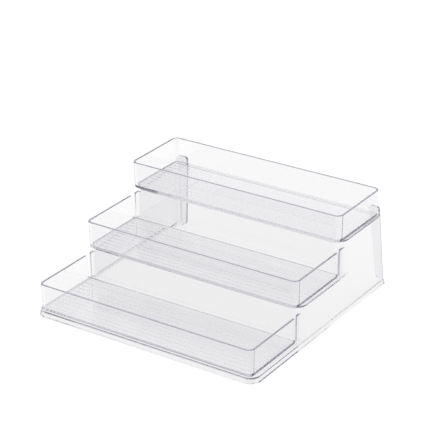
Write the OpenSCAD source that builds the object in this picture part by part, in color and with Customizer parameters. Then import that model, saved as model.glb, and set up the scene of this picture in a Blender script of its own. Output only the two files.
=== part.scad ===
// Three-tier shelf riser: a stepped, drafted frame that is open at the bottom and the back,
// with one lift-out tray on each step. X runs across, -Y is the front, +Z is up.
// The origin is on the surface it stands on, at the middle of the footprint.

/* [Steps] */
// Rise from one tray rim to the next
rise = 36.5; // [33:0.5:50]
// Step back from one tray front to the next
going = 79; // [70:1:100]
// Height of the foot lip, which is also the height of the lowest step
lip_h = 5.5; // [5:0.5:8]

/* [Trays] */
// Outside width of a tray at its rim
tray_w = 251; // [200:1:320]
// Outside height of a tray
tray_h = 29; // [22:0.5:30]
// Outside depth of the top tray, which has four full walls
top_tray_d = 80; // [70:1:100]
// Thickness of the tray walls
tray_wall = 2.2; // [1.6:0.1:3]
// Thickness of the tray floors
tray_floor = 2.4; // [1.8:0.1:3]
// Draft of the tray walls, on each side, from the rim to the floor
tray_draft = 0.8; // [0.3:0.1:1.5]
// Radius of the tray corners, seen from above
tray_corner_r = 7; // [5:0.5:10]
// Height of the low lip at the back of the two lower trays
back_lip_h = 4.6; // [4:0.1:8]
// Distance between the ribs on a tray floor
rib_pitch = 6.5; // [4:0.5:12]
// Width of a floor rib
rib_w = 1.4; // [0.8:0.1:2]
// Height of a floor rib
rib_h = 0.5; // [0.3:0.1:1]

/* [Frame] */
// Wall thickness of the frame
frame_wall = 2.4; // [1.8:0.1:3]
// How far the foot lip reaches past the trays on each side
side_reach = 4.5; // [4.5:0.1:7]
// How far the foot lip reaches in front of the bottom tray
front_reach = 2; // [2:0.1:4]
// How far the foot lip reaches behind the top tray
back_reach = 10; // [10:0.5:14]
// How far the foot lip flares out
lip_flare = 1.6; // [0.8:0.1:1.6]
// How far each flank leans in, from the foot lip up to the top step
flank_lean = 2.4; // [1:0.1:2.4]
// How far the back leans in, from the foot lip up to the top step
back_lean = 5.2; // [2:0.1:5.2]
// How far a tray hangs over the riser below it
overhang = 2.8; // [2:0.1:5]
// Radius of the riser corners, seen from above
riser_corner_r = 14; // [10:1:18]
// Radius of the foot's front corners, seen from above
foot_corner_r = 12; // [8:1:14]
// Radius of the frame's back corners, seen from above
back_corner_r = 5; // [4:0.5:7]
// Length of the fin that closes a tray's corner beside the riser
fin_l = 9; // [9:0.5:13]
// Width at its top of the flange that turns in at each back corner
flange_w = 15; // [14:0.5:20]
// Width at its foot of that flange
flange_foot_w = 11.4; // [11.4:0.2:20]
// Height of the post that the flange makes behind the top tray
post_h = 8; // [6:0.5:8]

/* [Hidden] */
$fn = 48;

// Number of the top tray, counted from 0 at the bottom
TOP = 2;
// Gap between a lower tray's back and the front of the tray above it
TRAY_GAP = 1.6;
// Reach of a cutter past the surface it cuts
EPS = 1;
// Thickness of the slices that a drafted box is drawn between
SLICE = 0.01;
// Extra radius that keeps a rounding cutter from just touching the faces it rounds
GRAZE = 0.03;
plastic = [0.86, 0.87, 0.91, 0.45];

foot_w = tray_w + 2 * side_reach;
foot_d = front_reach + TOP * going + top_tray_d + back_reach;
foot_front = -foot_d / 2;
foot_back = foot_d / 2;
flank_back = foot_back - lip_flare;
flank_foot_x = foot_w / 2 - lip_flare;
top_seat = seat_z(TOP);
flank_slope = flank_lean / (top_seat - lip_h);
back_slope = back_lean / (top_seat - lip_h);

lower_tray_d = going - TRAY_GAP;
rim_end_r = 3.5;
heel_r = 2;
rib_end_gap = 0.5;

fin_inset = 0.3;
fin_x = tray_w / 2 - fin_inset;
fin_r = 2;
flange_foot_z = 2;
flange_corner_r = 5;
post_inner_r = 3;
post_outer_r = 7;

// Height of the step that tray i stands on
function seat_z(i) = lip_h + i * rise;

// Front of tray i at its rim
function tray_y(i) = foot_front + front_reach + i * going;

// Front face of the riser below tray i
function riser_y(i) = tray_y(i) + overhang;

// Half width across the flanks at height z
function flank_x(z) = flank_foot_x - flank_slope * (z - lip_h);

// Back face of the frame at height z
function back_y(z) = flank_back - back_slope * (z - lip_h);

// Extrudes a (Y, Z) outline across the whole width
module across(width) {
    rotate([90, 0, 90])
        linear_extrude(width, center = true)
            children();
}

// Extrudes an (X, Z) outline along the whole depth
module along(depth) {
    rotate([90, 0, 0])
        linear_extrude(depth, center = true)
            children();
}

// What a rounding removes at the origin from a corner that fills the quadrant of signs sx, sy
module corner_nick(r, sx, sy) {
    mirror([sx > 0 ? 0 : 1, 0])
        mirror([0, sy > 0 ? 0 : 1])
            difference() {
                translate([-EPS, -EPS])
                    square(r + EPS);
                translate([r, r])
                    circle(r);
            }
}

// ---------- Stepped frame ----------

// Side outline of the steps, set in by t
module step_outline(t, floor_z) {
    polygon([
        [foot_front + t, floor_z],
        [foot_front + lip_flare + t, lip_h - t],
        [riser_y(1) + t, lip_h - t],
        [riser_y(1) + t, seat_z(1) - t],
        [riser_y(2) + t, seat_z(1) - t],
        [riser_y(2) + t, top_seat - t],
        [back_y(top_seat) - t, top_seat - t],
        [flank_back - t, lip_h],
        [foot_back - t, floor_z]
    ]);
}

// Front outline of the flanks, set in by t
module flank_outline(t, floor_z) {
    foot_x = foot_w / 2 - t;
    lip_x = flank_foot_x - t;
    top_x = flank_x(top_seat) - t;
    polygon([
        [foot_x, floor_z],
        [lip_x, lip_h],
        [top_x, top_seat],
        [-top_x, top_seat],
        [-lip_x, lip_h],
        [-foot_x, floor_z]
    ]);
}

// Rounds both upright edges that stand on corner and lean in by lean for each unit of rise
module edge_cutter(corner, lean, r, h, sy) {
    for (sx = [-1, 1])
        translate([sx * corner.x, corner.y, corner.z])
            intersection() {
                rotate([atan(lean.y), -sx * atan(lean.x), 0])
                    translate([-sx * r, -sy * r, -EPS])
                        difference() {
                            translate([sx > 0 ? 0 : -r - EPS, sy > 0 ? 0 : -r - EPS, 0])
                                cube([r + EPS, r + EPS, h + 2 * EPS]);
                            translate([0, 0, -EPS])
                                cylinder(r = r + GRAZE, h = h + 4 * EPS);
                        }
                translate([-2 * r, -2 * r, 0])
                    cube([4 * r, 4 * r, h]);
            }
}

// Rounds the flared lip's corners, at the front (sy = -1) or at the back (sy = 1)
module lip_cutter(r, t, floor_z, sy) {
    low_r = r - t + GRAZE;
    for (sx = [-1, 1])
        translate([sx * (foot_w / 2 - r), sy * (foot_d / 2 - r), floor_z])
            difference() {
                translate([sx > 0 ? 0 : -r, sy > 0 ? 0 : -r, -EPS])
                    cube([r, r, lip_h + EPS - floor_z]);
                cylinder(r1 = low_r, r2 = low_r - lip_flare, h = lip_h - floor_z);
            }
}

// Rounds the upright edges of riser i, set in by t
module riser_cutter(i, t) {
    low_z = seat_z(i - 1) - t;
    edge_cutter(
        [flank_x(low_z) - t, riser_y(i) + t, low_z],
        [flank_slope, 0],
        riser_corner_r - t,
        rise + EPS,
        -1
    );
}

// The stepped solid with rounded edges, set in by t
module step_block(t, floor_z) {
    difference() {
        intersection() {
            across(foot_w + EPS)
                step_outline(t, floor_z);
            along(foot_d + EPS)
                flank_outline(t, floor_z);
        }
        lip_cutter(foot_corner_r, t, floor_z, -1);
        lip_cutter(back_corner_r + lip_flare, t, floor_z, 1);
        for (i = [1, 2])
            riser_cutter(i, t);
    }
}

// Outline of the open back, which leaves the shell's back corners standing
module back_opening() {
    lip_x = flank_foot_x - back_corner_r;
    high_x = flank_x(top_seat) - back_corner_r;
    high_z = top_seat - frame_wall + EPS;
    polygon([
        [lip_x, -EPS],
        [lip_x, lip_h],
        [high_x, high_z],
        [-high_x, high_z],
        [-lip_x, lip_h],
        [-lip_x, -EPS]
    ]);
}

// Outline of the flange at the right back corner, and of the post above it
module flange_outline() {
    post_z = top_seat + post_h;
    post_x = flank_x(post_z);
    inner_x = post_x - flange_w;
    foot_x = flank_foot_x - flange_foot_w;
    heel_x = flank_foot_x - back_corner_r + EPS;
    difference() {
        polygon([
            [flank_foot_x, lip_h],
            [post_x, post_z],
            [inner_x, post_z],
            [foot_x, flange_foot_z],
            [heel_x, flange_foot_z],
            [heel_x, lip_h]
        ]);
        translate([foot_x, flange_foot_z])
            corner_nick(flange_corner_r, 1, 1);
        translate([inner_x, post_z])
            corner_nick(post_inner_r, 1, -1);
        translate([post_x, post_z])
            corner_nick(post_outer_r, -1, -1);
    }
}

// The flanges that turn in at the back corners and end in posts behind the top tray
module back_flanges() {
    post_z = top_seat + post_h;
    post_y = back_y(post_z);
    foot_y = back_y(flange_foot_z);
    intersection() {
        across(foot_w)
            polygon([
                [foot_y, flange_foot_z],
                [post_y, post_z],
                [post_y - frame_wall, post_z],
                [foot_y - frame_wall, flange_foot_z]
            ]);
        along(foot_d + EPS)
            for (side = [0, 1])
                mirror([side, 0])
                    flange_outline();
    }
}

// The fins that close a lower tray's back corners, in line with its side walls
module corner_fins() {
    for (i = [1, 2])
        for (side = [0, 1])
            mirror([side, 0, 0])
                translate([fin_x - frame_wall / 2, riser_y(i), seat_z(i - 1) - EPS])
                    across(frame_wall)
                        difference() {
                            square([fin_l, tray_h + EPS]);
                            translate([0, tray_h + EPS])
                                corner_nick(fin_r, 1, -1);
                        }
}

// The shell, open below and at the back, with its flanges
module frame_shell() {
    back_reach_in = 2 * (lip_flare + back_lean + frame_wall + EPS);
    difference() {
        step_block(0, 0);
        step_block(frame_wall, -EPS);
        translate([0, foot_back, 0])
            along(back_reach_in)
                back_opening();
    }
    back_flanges();
}

module stepped_frame() {
    color(plastic) {
        difference() {
            frame_shell();
            edge_cutter(
                [flank_foot_x, flank_back, lip_h],
                [flank_slope, back_slope],
                back_corner_r,
                top_seat + post_h,
                1
            );
        }
        corner_fins();
    }
}

// ---------- Trays ----------

// A rounded box with its front at y = 0, drafted from the rim down to z_low and set in by t
module drafted_box(depth, t, z_low) {
    low_draft = tray_draft * (1 - z_low / tray_h);
    hull()
        for (end = [[z_low, low_draft], [tray_h - SLICE, 0]])
            for (sx = [-1, 1])
                for (y = [tray_corner_r, depth - tray_corner_r])
                    translate([sx * (tray_w / 2 - tray_corner_r), y, end[0]])
                        linear_extrude(SLICE)
                            circle(tray_corner_r - t - end[1]);
}

// Four drafted walls and a floor
module tray_shell(depth) {
    difference() {
        drafted_box(depth, 0, 0);
        translate([0, 0, SLICE])
            drafted_box(depth, tray_wall, tray_floor);
    }
}

// Ribs across the floor of a tray, sunk into it so that they stand rib_h proud
module floor_ribs(depth) {
    count = floor((depth - 2 * tray_corner_r) / rib_pitch);
    start = (depth - count * rib_pitch) / 2;
    length = tray_w - 2 * (tray_wall + tray_draft + rib_end_gap);
    for (k = [0 : count])
        translate([-length / 2, start + k * rib_pitch - rib_w / 2, tray_floor - rib_h])
            cube([length, rib_w, 2 * rib_h]);
}

// Side outline of a lower tray, whose walls end in a rounded rim and a rounded heel
module lower_outline() {
    difference() {
        translate([-EPS, 0])
            square([lower_tray_d + EPS, tray_h]);
        translate([lower_tray_d, tray_h])
            corner_nick(rim_end_r, -1, -1);
        translate([lower_tray_d, 0])
            corner_nick(heel_r, -1, 1);
    }
}

// A tray with a front wall and two side walls, and a low lip along its open back
module lower_tray() {
    lip_w = tray_w - 2 * tray_wall;
    intersection() {
        union() {
            tray_shell(lower_tray_d + 2 * tray_corner_r);
            floor_ribs(lower_tray_d);
            translate([-lip_w / 2, lower_tray_d - tray_wall, tray_floor / 2])
                cube([lip_w, tray_wall, back_lip_h - tray_floor / 2]);
        }
        across(tray_w + EPS)
            lower_outline();
    }
}

module bottom_tray() {
    color(plastic)
        translate([0, tray_y(0), seat_z(0)])
            lower_tray();
}

module middle_tray() {
    color(plastic)
        translate([0, tray_y(1), seat_z(1)])
            lower_tray();
}

module top_tray() {
    color(plastic)
        translate([0, tray_y(TOP), top_seat]) {
            tray_shell(top_tray_d);
            floor_ribs(top_tray_d);
        }
}

stepped_frame();
bottom_tray();
middle_tray();
top_tray();
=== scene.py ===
"""Clear three-step shelf riser: a stepped frame with a lift-out tray on each step."""

import math

import bmesh
import bpy
from mathutils import Matrix, Vector


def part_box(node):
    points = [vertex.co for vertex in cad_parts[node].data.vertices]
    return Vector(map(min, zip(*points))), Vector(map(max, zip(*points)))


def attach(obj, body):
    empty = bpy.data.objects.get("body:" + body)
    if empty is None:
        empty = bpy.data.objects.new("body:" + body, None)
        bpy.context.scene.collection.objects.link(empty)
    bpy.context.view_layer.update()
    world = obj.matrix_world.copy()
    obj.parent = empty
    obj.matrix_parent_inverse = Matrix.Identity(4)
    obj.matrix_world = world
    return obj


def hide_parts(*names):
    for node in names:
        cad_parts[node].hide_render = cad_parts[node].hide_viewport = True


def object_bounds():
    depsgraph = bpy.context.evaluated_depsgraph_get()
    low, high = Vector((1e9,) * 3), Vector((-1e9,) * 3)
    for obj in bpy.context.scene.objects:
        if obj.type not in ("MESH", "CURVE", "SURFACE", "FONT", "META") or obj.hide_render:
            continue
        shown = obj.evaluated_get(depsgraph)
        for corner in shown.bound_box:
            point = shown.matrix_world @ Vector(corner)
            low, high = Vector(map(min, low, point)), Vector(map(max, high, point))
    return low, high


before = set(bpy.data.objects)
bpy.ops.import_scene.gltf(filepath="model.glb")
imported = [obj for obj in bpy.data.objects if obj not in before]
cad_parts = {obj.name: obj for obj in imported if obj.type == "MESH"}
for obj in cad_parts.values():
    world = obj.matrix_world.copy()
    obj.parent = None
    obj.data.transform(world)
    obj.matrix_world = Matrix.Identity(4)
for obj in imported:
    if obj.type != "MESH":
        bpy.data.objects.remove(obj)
cad_lo, cad_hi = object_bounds()

MM = 0.001

# ---------- Trays: sizes in millimetres ----------

TRAYS = ("bottom_tray", "middle_tray", "top_tray")
TRAY_WALL, TRAY_FLOOR, TRAY_CORNER = 2.2, 2.4, 7.0
# How far a wall leans out over its whole height
TRAY_DRAFT = 0.8
# Radii of the outer heel, the rim and the inner heel
HEEL_RADIUS, RIM_RADIUS, INNER_HEEL = 1.4, 0.6, 1.0
# The gap that keeps a tray's underside off the face of its step
HEEL_GAP = 0.12
# The open back: the radius at the top of a wall's end, and the slant across its heel
WALL_END_RADIUS, HEEL_SLANT = 3.5, 2.0
# The low lip along the open back: its height, rounding, and how shy it is of the wall ends
BACK_LIP, LIP_ROUND, LIP_SHY = 4.6, 0.8, 0.02
RIB_PITCH, RIB_WIDTH, RIB_HEIGHT = 6.5, 2.2, 0.16
# Clear floor past a rib's end, its depth into the floor, its lift, and the slope of its end
RIB_END, RIB_ROOT, RIB_LIFT, RIB_END_SLOPE = 3.5, 0.4, 0.01, 1.5

# ---------- Stepped frame: sizes in millimetres ----------

FRAME_WALL = 2.4
LIP_HEIGHT, LIP_FLARE, LIP_CORNER = 5.5, 1.6, 12.0
RISER_CORNER, BACK_CORNER = 14.0, 5.0
# How far a tray's front stands out over its riser
OVERHANG = 2.8
# How far the flanks and the back lean in, from the lip to the top step
FLANK_LEAN, BACK_LEAN = 2.4, 5.2
FLANGE_WIDTH, FLANGE_FOOT_WIDTH, FLANGE_FOOT, FLANGE_CORNER = 15.0, 11.4, 2.0, 5.0
POST_HEIGHT, POST_INNER, POST_OUTER = 8.0, 3.0, 7.0
FIN_LENGTH, FIN_HEIGHT, FIN_INSET, FIN_RADIUS = 9.0, 29.0, 0.3, 2.0
# Rounding of convex edges outside and inside, and of the toe at a riser's foot
EDGE_OUT, EDGE_IN, TOE_OUT, TOE_IN = 0.7, 0.5, 0.9, 1.8
# The heights at which the two step blocks start, outside and inside
BLOCK_LOW_OUT, BLOCK_LOW_IN = (2.0, 20.0), (1.0, 20.0)
# How far each step block is set in, so that no two flanks share a face
BLOCK_SHY = (0.01, 0.03)

# ---------- Cutters and mesh clean-up ----------

# How far a cutter runs past what it cuts, in millimetres
PAST = 5.0
WELD = 0.01 * MM
FLAT_ANGLE, HARD_ANGLE = math.radians(0.2), math.radians(38)
NORMAL_WEIGHT = 80

# ---------- Plastic and studio ----------

FRAME_TINT, TRAY_TINT = (0.89, 0.889, 0.897), (0.95, 0.949, 0.956)
# Painted edge shade: the dark tint put on the picked rim, end, flange, post, fin and foot faces
EDGE_PAINTED_SHADE = (0.36, 0.35, 0.43)
ABSORB_COLOUR, ABSORB_DENSITY = (0.63, 0.62, 0.68), 8.0
PLASTIC_IOR = 1.53
# How much lighter the tint gets at the crest of a flow wave
WAVE_LIFT = 1.012
WAVE_SCALE, SCUFF_SCALE = (14.0, 30.0, 30.0), 160.0
# The range of noise that shows as scuffs, and the roughness of the deepest
SCUFF_FROM, SCUFF_TO, SCUFF_ROUGHNESS = 0.45, 0.8, 0.02
WAVE_BUMP = 0.01

FLOOR_SIZE, FLOOR_GAP = 12, 0.2 * MM
FLOOR_ALBEDO, FLOOR_GLOW = 0.12, 0.94
# The sky is brightest around KEY_FROM, and falls off between these cosines from it
KEY_FROM = (-0.5, 0.5, 0.7)
SKY_LOW, SKY_HIGH = 0.15, 1.1
SKY_FALL = (-0.35, 0.75)
# Enough bounces for light caught inside the thin walls to get out again, the bounces
# between matt surfaces, and how many are never cut short at random
CLEAR_BOUNCES, DIFFUSE_BOUNCES, SURE_BOUNCES = 128, 3, 24


def box_mm(node):
    """Lowest and highest corner of a CAD node, in millimetres."""
    lo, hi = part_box(node)
    return [c / MM for c in lo], [c / MM for c in hi]


# ---------- Outlines and solids ----------


def arc(cx, cy, r, a0, a1, n):
    """Points along an arc from angle a0 to a1, in degrees, in n steps."""
    return [
        (
            cx + r * math.cos(math.radians(a0 + (a1 - a0) * k / n)),
            cy + r * math.sin(math.radians(a0 + (a1 - a0) * k / n)),
        )
        for k in range(n + 1)
    ]


def quarter(r, n):
    """(inset, drop) over a convex edge of radius r, from the wall to the top. A heel or a toe
    reads the same pairs as (rise, inset)."""
    angles = [math.radians(90 * k / n) for k in range(n + 1)]
    return [(r * (1 - math.cos(a)), r * (1 - math.sin(a))) for a in angles]


def rounded(half_x, y0, y1, front_r, back_r, n=10):
    """A rounded rectangle, symmetric about x = 0, counter-clockwise from its front right corner."""
    right, left = half_x, -half_x
    return (
        arc(right - front_r, y0 + front_r, front_r, -90, 0, n)
        + arc(right - back_r, y1 - back_r, back_r, 0, 90, n)
        + arc(left + back_r, y1 - back_r, back_r, 90, 180, n)
        + arc(left + front_r, y0 + front_r, front_r, 180, 270, n)
    )


def skin(bm, rows):
    """Joins rows of vertices, each a closed ring, and caps both ends."""
    n = len(rows[0])
    for low, high in zip(rows, rows[1:]):
        for k in range(n):
            j = (k + 1) % n
            bm.faces.new((low[k], low[j], high[j], high[k]))
    bm.faces.new(list(reversed(rows[0])))
    bm.faces.new(rows[-1])


def to_object(bm, name):
    bmesh.ops.recalc_face_normals(bm, faces=bm.faces)
    mesh = bpy.data.meshes.new(name)
    bm.to_mesh(mesh)
    bm.free()
    ob = bpy.data.objects.new(name, mesh)
    bpy.context.scene.collection.objects.link(ob)
    return ob


def loft(rings, name):
    """A closed solid through rings of (z, [(x, y), ...]), lowest first, in millimetres."""
    bm = bmesh.new()
    skin(bm, [[bm.verts.new((x * MM, y * MM, z * MM)) for x, y in points] for z, points in rings])
    return to_object(bm, name)


def prism(points, axis, low, high, name):
    """Extrudes an outline: along x it takes (y, z) points, and along y it takes (x, z) points."""
    bm = bmesh.new()
    rows = []
    for at in (low, high):
        if axis == "x":
            rows.append([bm.verts.new((at * MM, p * MM, q * MM)) for p, q in points])
        else:
            rows.append([bm.verts.new((p * MM, at * MM, q * MM)) for p, q in points])
    skin(bm, rows)
    return to_object(bm, name)


def combine(base, others, operation):
    """Applies a boolean of each other solid to base, and removes the others."""
    for other in others:
        boolean = base.modifiers.new("boolean", "BOOLEAN")
        boolean.operation = operation
        boolean.solver = "EXACT"
        boolean.object = other
        depsgraph = bpy.context.evaluated_depsgraph_get()
        mesh = bpy.data.meshes.new_from_object(base.evaluated_get(depsgraph), depsgraph=depsgraph)
        base.modifiers.clear()
        old = base.data
        base.data = mesh
        bpy.data.meshes.remove(old)
        bpy.data.objects.remove(other)
    return base


def finish_piece(ob, name, node, body, material, picks_painted_shade):
    """Cleans the mesh, keeps its hard edges hard, flags in the 'edge' attribute the faces picked
    for painted edge shade, and hands the piece over as what stands for its CAD node."""
    bm = bmesh.new()
    bm.from_mesh(ob.data)
    bmesh.ops.remove_doubles(bm, verts=bm.verts, dist=WELD)
    bmesh.ops.dissolve_limit(bm, angle_limit=FLAT_ANGLE, verts=bm.verts, edges=bm.edges)
    bmesh.ops.recalc_face_normals(bm, faces=bm.faces)
    for face in bm.faces:
        face.smooth = True
    for line in bm.edges:
        line.smooth = line.calc_face_angle(0) < HARD_ANGLE
    bm.to_mesh(ob.data)
    bm.free()
    # Flags the faces that get the painted edge shade
    painted_shade_marks = ob.data.attributes.new("edge", "FLOAT", "FACE")
    for face in ob.data.polygons:
        x, y, z = (c / MM for c in face.center)
        painted_shade_marks.data[face.index].value = 1.0 if picks_painted_shade(x, y, z, face.normal) else 0.0
    ob.name = name
    ob.data.name = name
    weighted = ob.modifiers.new("normals", "WEIGHTED_NORMAL")
    weighted.keep_sharp = True
    weighted.weight = NORMAL_WEIGHT
    ob.data.materials.clear()
    ob.data.materials.append(material)
    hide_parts(node)
    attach(ob, body)


# ---------- Clear plastic ----------


def clear_plastic(name, tint):
    """Clear moulded plastic: faint flow waves, fine handling scuffs, painted shade that darkens
    the picked edges, and a tint that deepens through the thickness."""
    material = bpy.data.materials.new(name)
    material.use_nodes = True
    tree = material.node_tree
    tree.nodes.clear()
    output = tree.nodes.new("ShaderNodeOutputMaterial")
    shader = tree.nodes.new("ShaderNodeBsdfPrincipled")
    shader.inputs["Transmission Weight"].default_value = 1.0
    shader.inputs["IOR"].default_value = PLASTIC_IOR
    tree.links.new(shader.outputs["BSDF"], output.inputs["Surface"])

    coords = tree.nodes.new("ShaderNodeTexCoord")
    scale = tree.nodes.new("ShaderNodeMapping")
    scale.inputs["Scale"].default_value = WAVE_SCALE
    tree.links.new(coords.outputs["Object"], scale.inputs["Vector"])
    waves = tree.nodes.new("ShaderNodeTexNoise")
    waves.inputs["Scale"].default_value = 1.0
    waves.inputs["Detail"].default_value = 2.0
    tree.links.new(scale.outputs["Vector"], waves.inputs["Vector"])

    tints = tree.nodes.new("ShaderNodeMix")
    tints.data_type = "RGBA"
    tints.inputs["A"].default_value = (*tint, 1)
    tints.inputs["B"].default_value = (*[c * WAVE_LIFT for c in tint], 1)
    tree.links.new(waves.outputs["Fac"], tints.inputs["Factor"])
    # Faces flagged in the 'edge' attribute take the dark edge tint: painted shade on the edges
    painted_shade_marks = tree.nodes.new("ShaderNodeAttribute")
    painted_shade_marks.attribute_name = "edge"
    edges = tree.nodes.new("ShaderNodeMix")
    edges.data_type = "RGBA"
    edges.inputs["B"].default_value = (*EDGE_PAINTED_SHADE, 1)
    tree.links.new(painted_shade_marks.outputs["Fac"], edges.inputs["Factor"])
    tree.links.new(tints.outputs["Result"], edges.inputs["A"])
    tree.links.new(edges.outputs["Result"], shader.inputs["Base Color"])

    scuffs = tree.nodes.new("ShaderNodeTexNoise")
    scuffs.inputs["Scale"].default_value = SCUFF_SCALE
    scuffs.inputs["Detail"].default_value = 5.0
    tree.links.new(coords.outputs["Object"], scuffs.inputs["Vector"])
    rough = tree.nodes.new("ShaderNodeMapRange")
    rough.inputs["From Min"].default_value = SCUFF_FROM
    rough.inputs["From Max"].default_value = SCUFF_TO
    rough.inputs["To Min"].default_value = 0.0
    rough.inputs["To Max"].default_value = SCUFF_ROUGHNESS
    tree.links.new(scuffs.outputs["Fac"], rough.inputs["Value"])
    tree.links.new(rough.outputs["Result"], shader.inputs["Roughness"])

    bump = tree.nodes.new("ShaderNodeBump")
    bump.inputs["Strength"].default_value = WAVE_BUMP
    bump.inputs["Distance"].default_value = MM
    tree.links.new(waves.outputs["Fac"], bump.inputs["Height"])
    tree.links.new(bump.outputs["Normal"], shader.inputs["Normal"])

    volume = tree.nodes.new("ShaderNodeVolumeAbsorption")
    volume.inputs["Color"].default_value = (*ABSORB_COLOUR, 1)
    volume.inputs["Density"].default_value = ABSORB_DENSITY
    tree.links.new(volume.outputs["Volume"], output.inputs["Volume"])
    return material


frame_plastic = clear_plastic("frame_plastic", FRAME_TINT)
tray_plastic = clear_plastic("tray_plastic", TRAY_TINT)

# ---------- Trays ----------

# Steps in a quarter of a rim or heel
TRAY_STEPS = 5
# Slack round a rounded edge when its faces are picked, in millimetres
MARGIN = 0.1


def tray_ring(lo, hi, far, inset, z):
    """The outline of a tray's wall at height z above its heel, set in by inset, back to far."""
    lean = TRAY_DRAFT * (1 - z / (hi[2] - lo[2])) + inset
    r = TRAY_CORNER - lean
    return rounded((hi[0] - lo[0]) / 2 - lean, lo[1] + lean, far - lean, r, r)


def tray_walls(node, closed):
    """Four drafted walls with a rounded rim and heel, on a floor. An open tray's back wall
    lies past its end, where open_back cuts it off."""
    lo, hi = box_mm(node)
    height = hi[2] - lo[2]
    far = hi[1] if closed else hi[1] + 2 * TRAY_CORNER
    heel, rim = quarter(HEEL_RADIUS, TRAY_STEPS), quarter(RIM_RADIUS, TRAY_STEPS)

    outside = [(inset, z) for z, inset in heel]
    outside += [(inset, height - drop) for inset, drop in rim]
    outer = loft(
        [(lo[2] + max(z, HEEL_GAP), tray_ring(lo, hi, far, inset, z)) for inset, z in outside],
        node + "_outer",
    )
    inside = [
        (TRAY_WALL + inset, TRAY_FLOOR + z) for z, inset in quarter(INNER_HEEL, TRAY_STEPS)
    ]
    inside += [(TRAY_WALL - inset, height - drop) for inset, drop in rim[:-1]]
    inside.append((TRAY_WALL - RIM_RADIUS, height + 1))
    inner = loft(
        [(lo[2] + z, tray_ring(lo, hi, far, inset, z)) for inset, z in inside],
        node + "_inner",
    )
    return combine(outer, [inner], "DIFFERENCE")


def open_back(tray, node):
    """Cuts the back wall off a tray, rounds the ends of its side walls, and adds the low lip."""
    lo, hi = box_mm(node)
    half_x, y0, y1 = (hi[0] - lo[0]) / 2, lo[1], hi[1]
    base, top = lo[2], hi[2]
    r = WALL_END_RADIUS
    side = [(y0 - PAST, base - PAST), (y1 - HEEL_SLANT, base - PAST), (y1, base + HEEL_SLANT)]
    side += arc(y1 - r, top - r, r, 0, 90, 8)
    side += [(y1 - r, top + PAST), (y0 - PAST, top + PAST)]
    keep = prism(side, "x", -half_x - PAST, half_x + PAST, node + "_keep")
    tray = combine(tray, [keep], "INTERSECT")

    lip_x = half_x - TRAY_WALL / 2 - TRAY_DRAFT
    z0, z1 = base + TRAY_FLOOR / 2, base + BACK_LIP
    back = y1 - LIP_SHY
    bar = [(y1 - TRAY_WALL, z0), (back, z0)]
    bar += arc(back - LIP_ROUND, z1 - LIP_ROUND, LIP_ROUND, 0, 90, 4)
    bar += arc(y1 - TRAY_WALL + LIP_ROUND, z1 - LIP_ROUND, LIP_ROUND, 90, 180, 4)
    return combine(tray, [prism(bar, "x", -lip_x, lip_x, node + "_lip")], "UNION")


def rib_row(bm, y, floor, half_x):
    """One low rounded rib across a tray at y, sunk into the floor, with sloped ends."""
    half_w, steps = RIB_WIDTH / 2, 8
    section = [(y - half_w, floor - RIB_ROOT), (y + half_w, floor - RIB_ROOT)]
    for k in range(steps + 1):
        a = math.pi * (k / steps - 0.5)
        crown = RIB_LIFT + RIB_HEIGHT * math.cos(a) ** 2
        section.append((y - half_w * math.sin(a), floor + crown))
    skin(
        bm,
        [
            [
                bm.verts.new(
                    (
                        side * (half_x - max(q - floor, 0) * RIB_END_SLOPE) * MM,
                        p * MM,
                        q * MM,
                    )
                )
                for p, q in section
            ]
            for side in (-1, 1)
        ],
    )


def tray_ribs(node):
    """All the ribs on a tray's floor, evenly spaced about its middle."""
    lo, hi = box_mm(node)
    depth = hi[1] - lo[1]
    count = math.floor((depth - 2 * TRAY_CORNER) / RIB_PITCH)
    start = lo[1] + (depth - count * RIB_PITCH) / 2
    half_x = (hi[0] - lo[0]) / 2 - TRAY_WALL - TRAY_DRAFT - RIB_END
    bm = bmesh.new()
    for row in range(count + 1):
        rib_row(bm, start + row * RIB_PITCH, lo[2] + TRAY_FLOOR, half_x)
    return to_object(bm, node + "_ribs")


def tray_painted_shade_faces(node, closed):
    """Picks the rim of a tray and, on an open one, the back ends of its side walls, for painted
    edge shade.
    """
    hi = box_mm(node)[1]
    rim_z, end_y = hi[2] - RIM_RADIUS - MARGIN, hi[1] - WALL_END_RADIUS - MARGIN
    wall_x = hi[0] - TRAY_WALL - TRAY_DRAFT

    def picks_painted_shade(x, y, z, normal):
        rim = z > rim_z and normal.z > 0.2
        end = y > end_y and normal.y > 0.4 and abs(x) > wall_x and not closed
        return rim or end

    return picks_painted_shade


for node in TRAYS:
    closed = node == "top_tray"
    tray = tray_walls(node, closed)
    if not closed:
        tray = open_back(tray, node)
    tray = combine(tray, [tray_ribs(node)], "UNION")
    finish_piece(
        tray, node + "_clear", node, node, tray_plastic, tray_painted_shade_faces(node, closed)
    )

# ---------- Stepped frame ----------

frame_lo, frame_hi = box_mm("stepped_frame")
FOOT_X = frame_hi[0]
FOOT_FRONT, FOOT_BACK = frame_lo[1], frame_hi[1]
SEATS = [box_mm(tray)[0][2] for tray in TRAYS]
RISERS = [box_mm(tray)[0][1] + OVERHANG for tray in TRAYS]
TOP_SEAT = SEATS[2]
POST_TOP = TOP_SEAT + POST_HEIGHT
FLANK_X = FOOT_X - LIP_FLARE
FLANK_BACK = FOOT_BACK - LIP_FLARE
RISE = TOP_SEAT - LIP_HEIGHT
# Steps in a quarter of a small edge, and in a quarter of an upright corner
FRAME_STEPS, CORNER_STEPS = 4, 14


def flank_x(z):
    """Half width across the flanks at height z."""
    return FLANK_X - FLANK_LEAN * (z - LIP_HEIGHT) / RISE


def back_y(z):
    """How far back the frame reaches at height z."""
    return FLANK_BACK - BACK_LEAN * (z - LIP_HEIGHT) / RISE


def flange_x(z):
    """Half width of the open back between the flanges at height z."""
    high, low = flank_x(POST_TOP) - FLANGE_WIDTH, FLANK_X - FLANGE_FOOT_WIDTH
    return low + (high - low) * (z - FLANGE_FOOT) / (POST_TOP - FLANGE_FOOT)


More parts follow.
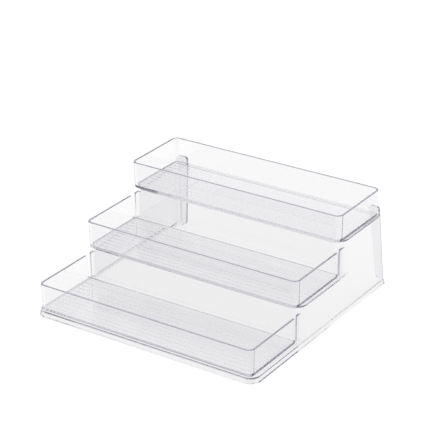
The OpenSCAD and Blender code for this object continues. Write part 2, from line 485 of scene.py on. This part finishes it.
def foot_block(wall, low, edge):
    """The flared lip, from height low up, set in by wall."""
    top = LIP_HEIGHT - wall
    rings = []
    for inset, z in [(0, low)] + [(i, top - drop) for i, drop in quarter(edge, FRAME_STEPS)]:
        s = wall + inset + LIP_FLARE * max(z / LIP_HEIGHT, 0)
        outline = rounded(
            FOOT_X - s,
            FOOT_FRONT + s,
            FOOT_BACK - s,
            LIP_CORNER - s,
            BACK_CORNER + LIP_FLARE - s,
        )
        rings.append((z, outline))
    return loft(rings, "foot_block")


def step_block(step, wall, low, edge, toe, shy):
    """The block under a step, from height low up, set in by wall, with a rounded top edge
    and a concave toe at its riser's foot."""
    top, floor = SEATS[step] - wall, SEATS[step - 1] - wall
    profile = [(low, 0, 0)]
    profile += [(floor + z, 0, out) for z, out in quarter(toe, FRAME_STEPS)]
    profile += [(top - drop, inset, 0) for inset, drop in quarter(edge, FRAME_STEPS)]
    rings = []
    for z, inset, out in profile:
        s = wall + inset + shy
        outline = rounded(
            flank_x(z) - s,
            RISERS[step] + wall + inset - out,
            back_y(z) - s,
            RISER_CORNER - wall - inset,
            BACK_CORNER - wall - inset,
            CORNER_STEPS,
        )
        rings.append((z, outline))
    return loft(rings, "step_block")


def stepped_block(wall, foot_low, lows, edge, toe):
    """The foot and both step blocks as one solid, set in by wall."""
    blocks = [
        step_block(step, wall, low, edge, toe, shy)
        for step, low, shy in zip((1, 2), lows, BLOCK_SHY)
    ]
    return combine(foot_block(wall, foot_low, edge), blocks, "UNION")


def fin(step, side):
    """The upright fin that closes one back corner of the tray below a step's riser."""
    x1 = side * (box_mm(TRAYS[step])[1][0] - FIN_INSET)
    x0 = x1 - side * FRAME_WALL
    y, z0, z1 = RISERS[step], SEATS[step - 1] - 1, SEATS[step - 1] + FIN_HEIGHT
    section = [(y, z0), (y + FIN_LENGTH, z0), (y + FIN_LENGTH, z1)]
    section += arc(y + FIN_RADIUS, z1 - FIN_RADIUS, FIN_RADIUS, 90, 180, 6)
    return prism(section, "x", min(x0, x1), max(x0, x1), "fin")


def rear_post(side):
    """The short post behind a top corner: a leaning slab that follows the back corner,
    cut to the post's own outline."""
    reach, shy = 20, 0.04
    start = math.degrees(math.asin(1 - FRAME_WALL / BACK_CORNER))
    rings = []
    for z in (TOP_SEAT - FRAME_WALL / 2, POST_TOP + 1):
        x1, y1 = flank_x(z) - shy, back_y(z) - shy
        slab = [(x1 - reach, y1 - FRAME_WALL)]
        slab += arc(x1 - BACK_CORNER, y1 - BACK_CORNER, BACK_CORNER, start, 90, 6)
        slab += [(x1 - reach, y1)]
        rings.append((z, [(side * x, y) for x, y in (slab if side > 0 else slab[::-1])]))

    outer, inner, foot = flank_x(POST_TOP), flange_x(POST_TOP), TOP_SEAT - 2
    face = [(flange_x(foot), foot), (outer + 2, foot), (outer + 2, POST_TOP - POST_OUTER - 0.5)]
    face += arc(outer - POST_OUTER, POST_TOP - POST_OUTER, POST_OUTER, 0, 90, 8)
    face += arc(inner + POST_INNER, POST_TOP - POST_INNER, POST_INNER, 90, 175, 6)
    face = [(side * x, z) for x, z in face]
    cutter = prism(face, "y", back_y(POST_TOP) - 10, FOOT_BACK + PAST, "post_face")
    return combine(loft(rings, "post"), [cutter], "INTERSECT")


def back_gap():
    """The opening between the two back flanges, rounded at their feet."""
    low_x, high_z = FLANK_X - BACK_CORNER, TOP_SEAT - FRAME_WALL + 0.5
    hook_x, hook_z = flange_x(FLANGE_FOOT) + FLANGE_CORNER, FLANGE_FOOT + FLANGE_CORNER
    gap = [(-low_x, -2), (low_x, -2), (low_x, FLANGE_FOOT)]
    gap += arc(hook_x, hook_z, FLANGE_CORNER, 270, 182, 8)
    gap += [(flange_x(high_z), high_z)]
    gap += [(-x, z) for x, z in reversed(gap[2:])]
    return prism(gap, "y", back_y(TOP_SEAT) - FRAME_WALL - 3, FOOT_BACK + PAST, "gap")


FIN_X = box_mm(TRAYS[1])[1][0] - FIN_INSET - FRAME_WALL / 2
# Heights between which the free ends of the fins lie
FIN_ENDS = (22, 72)


def frame_painted_shade_faces(x, y, z, normal):
    """Picks the faces for painted edge shade: the standing edge, whose dark tint is a painted
    contact shadow, the flanges' and posts' edges, and the ends of the fins.
    """
    foot = z < 0.05 and normal.z < -0.9
    by_flange = y > back_y(z) - FRAME_WALL - 0.6 and abs(abs(x) - flange_x(z)) < 3
    flange = by_flange and abs(normal.x) > 0.6
    post = z > TOP_SEAT + 0.6 and abs(normal.y) < 0.6
    by_fin = abs(abs(x) - FIN_X) < FRAME_WALL / 2 + MARGIN and FIN_ENDS[0] < z < FIN_ENDS[1]
    return foot or flange or post or (by_fin and (normal.y > 0.9 or normal.z > 0.4))


shell = stepped_block(0, 0, BLOCK_LOW_OUT, EDGE_OUT, TOE_OUT)
fins = [fin(step, side) for step in (1, 2) for side in (-1, 1)]
posts = [rear_post(side) for side in (-1, 1)]
shell = combine(shell, fins + posts, "UNION")
hollow = stepped_block(FRAME_WALL, -1.0, BLOCK_LOW_IN, EDGE_IN, TOE_IN)
shell = combine(shell, [hollow, back_gap()], "DIFFERENCE")
finish_piece(
    shell,
    "stepped_frame_clear",
    "stepped_frame",
    "frame",
    frame_plastic,
    frame_painted_shade_faces,
)

# ---------- Studio ----------


def studio_floor():
    """A plain matt white table: the same all over, part lit from below and part by the sky."""
    material = bpy.data.materials.new("floor_white")
    material.use_nodes = True
    shader = material.node_tree.nodes["Principled BSDF"]
    shader.inputs["Base Color"].default_value = (FLOOR_ALBEDO, FLOOR_ALBEDO, FLOOR_ALBEDO, 1)
    shader.inputs["Roughness"].default_value = 0.9
    shader.inputs["Specular IOR Level"].default_value = 0.0
    shader.inputs["Emission Color"].default_value = (1, 1, 1, 1)
    shader.inputs["Emission Strength"].default_value = FLOOR_GLOW
    return material


def studio_sky():
    """A soft white sky, brightest around the direction of the key light."""
    world = bpy.data.worlds.new("studio")
    world.use_nodes = True
    tree = world.node_tree
    coords = tree.nodes.new("ShaderNodeTexCoord")
    toward = tree.nodes.new("ShaderNodeVectorMath")
    toward.operation = "DOT_PRODUCT"
    toward.inputs[1].default_value = Vector(KEY_FROM).normalized()
    tree.links.new(coords.outputs["Generated"], toward.inputs[0])
    fall = tree.nodes.new("ShaderNodeMapRange")
    fall.interpolation_type = "SMOOTHSTEP"
    fall.inputs["From Min"].default_value, fall.inputs["From Max"].default_value = SKY_FALL
    fall.inputs["To Min"].default_value = SKY_LOW
    fall.inputs["To Max"].default_value = SKY_HIGH
    tree.links.new(toward.outputs["Value"], fall.inputs["Value"])
    background = tree.nodes["Background"]
    background.inputs["Color"].default_value = (1, 1, 1, 1)
    tree.links.new(fall.outputs["Result"], background.inputs["Strength"])
    return world


bpy.ops.mesh.primitive_plane_add(size=FLOOR_SIZE, location=(0, 0, cad_lo.z - FLOOR_GAP))
floor = bpy.context.object
floor.name = "floor"
floor.data.materials.append(studio_floor())

scene = bpy.context.scene
scene.world = studio_sky()
scene.view_settings.view_transform = "Standard"
scene.cycles.max_bounces = CLEAR_BOUNCES
scene.cycles.transmission_bounces = CLEAR_BOUNCES
scene.cycles.glossy_bounces = CLEAR_BOUNCES
scene.cycles.diffuse_bounces = DIFFUSE_BOUNCES
scene.cycles.min_light_bounces = SURE_BOUNCES

# ---------- Camera: angles in degrees, lens in millimetres, distances in metres ----------

AZIMUTH, ELEVATION, ROLL = 34.435, 25.265, -0.853
DISTANCE, FOCAL, SENSOR = 1.7624, 149.425116, 36
AIM = Vector((0.003295, 0, 0.093107))

az, el, roll = (math.radians(a) for a in (AZIMUTH, ELEVATION, ROLL))
back = Vector((math.sin(az) * math.cos(el), -math.cos(az) * math.cos(el), math.sin(el)))
level = Vector((math.cos(az), math.sin(az), 0))
rise = back.cross(level)
right = level * math.cos(roll) + rise * math.sin(roll)
up = rise * math.cos(roll) - level * math.sin(roll)
turn = Matrix((right, up, back)).transposed().to_4x4()
camera = bpy.data.objects.new("camera", bpy.data.cameras.new("camera"))
scene.collection.objects.link(camera)
camera.matrix_world = Matrix.Translation(AIM + back * DISTANCE) @ turn
camera.data.lens = FOCAL
camera.data.sensor_width = SENSOR
camera.data.clip_start, camera.data.clip_end = 0.05, 50
scene.camera = camera
